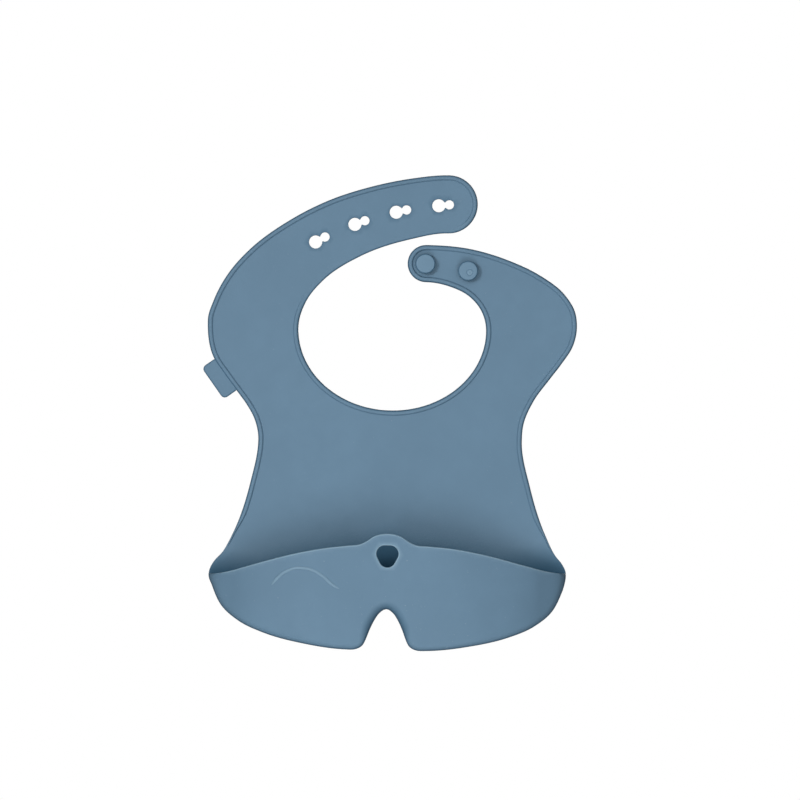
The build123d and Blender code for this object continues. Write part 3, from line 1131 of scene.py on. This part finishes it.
def world(front, back):
    """A white background. As light it is a soft grey dome, brighter in front of the bib than behind."""
    made = bpy.data.worlds.new("studio")
    bpy.context.scene.world = made
    made.use_nodes = True
    nodes, links = made.node_tree.nodes, made.node_tree.links
    dome = nodes["Background"]
    dome.inputs["Color"].default_value = (1, 1, 1, 1)
    white = nodes.new("ShaderNodeBackground")
    white.inputs["Color"].default_value = (1, 1, 1, 1)
    split = nodes.new("ShaderNodeSeparateXYZ")
    links.new(nodes.new("ShaderNodeTexCoord").outputs["Generated"], split.inputs[0])
    fade = nodes.new("ShaderNodeMapRange")
    fade.interpolation_type = "SMOOTHSTEP"
    for key, value in (("From Min", -0.95), ("From Max", -0.35), ("To Min", front), ("To Max", back)):
        fade.inputs[key].default_value = value
    links.new(split.outputs["Y"], fade.inputs["Value"])
    links.new(fade.outputs["Result"], dome.inputs["Strength"])
    mix = nodes.new("ShaderNodeMixShader")
    links.new(nodes.new("ShaderNodeLightPath").outputs["Is Camera Ray"], mix.inputs[0])
    links.new(dome.outputs[0], mix.inputs[1])
    links.new(white.outputs[0], mix.inputs[2])
    links.new(mix.outputs[0], nodes["World Output"].inputs["Surface"])


def area_light(name, place, aim, size, power):
    light = bpy.data.lights.new(name, "AREA")
    light.shape = "DISK"
    light.size = size
    light.energy = power
    obj = bpy.data.objects.new(name, light)
    bpy.context.scene.collection.objects.link(obj)
    obj.location = place
    obj.rotation_euler = (Vector(aim) - Vector(place)).to_track_quat("-Z", "Y").to_euler()
    obj.visible_camera = False


DOME_FRONT, DOME_BACK = 0.94, 0.12
# Round soft lights, in metres and watts: (name, place, aim, diameter, power).
LIGHTS = (
    ("key", (-1.3, -2.1, 0.4), (0, 0, -0.05), 0.5, 20.5),
    ("low_fill", (0.1, -0.6, -0.48), (0.02, 0, -0.16), 0.4, 1.35),
    ("top_fill", (-0.5, -0.9, 0.4), (-0.1, 0, 0.05), 0.5, 1.3),
    ("back_fill", (0.3, 2.3, 0.5), (0, 0, -0.05), 1.4, 34),
)
floor_disc()
world(DOME_FRONT, DOME_BACK)
for light in LIGHTS:
    area_light(*light)

# The camera looks straight at the bib's front, rolled a little, and takes in VIEW_WIDTH metres.
SENSOR, LENS, VIEW_WIDTH, ROLL = 36, 140, 0.52, 0.0206
FRONT_Y, VIEW_X, VIEW_Z = -0.001, 0.00596, -0.0454
camera_data = bpy.data.cameras.new("camera")
camera_data.lens = LENS
camera_data.sensor_width = SENSOR
camera = bpy.data.objects.new("camera", camera_data)
bpy.context.scene.collection.objects.link(camera)
c, s = math.cos(ROLL), math.sin(ROLL)
eye_y = FRONT_Y - VIEW_WIDTH * LENS / SENSOR
camera.matrix_world = Matrix(((c, -s, 0, VIEW_X), (0, 0, -1, eye_y), (s, c, 0, VIEW_Z), (0, 0, 0, 1)))
bpy.context.scene.camera = camera
bpy.context.scene.view_settings.view_transform = "Standard"
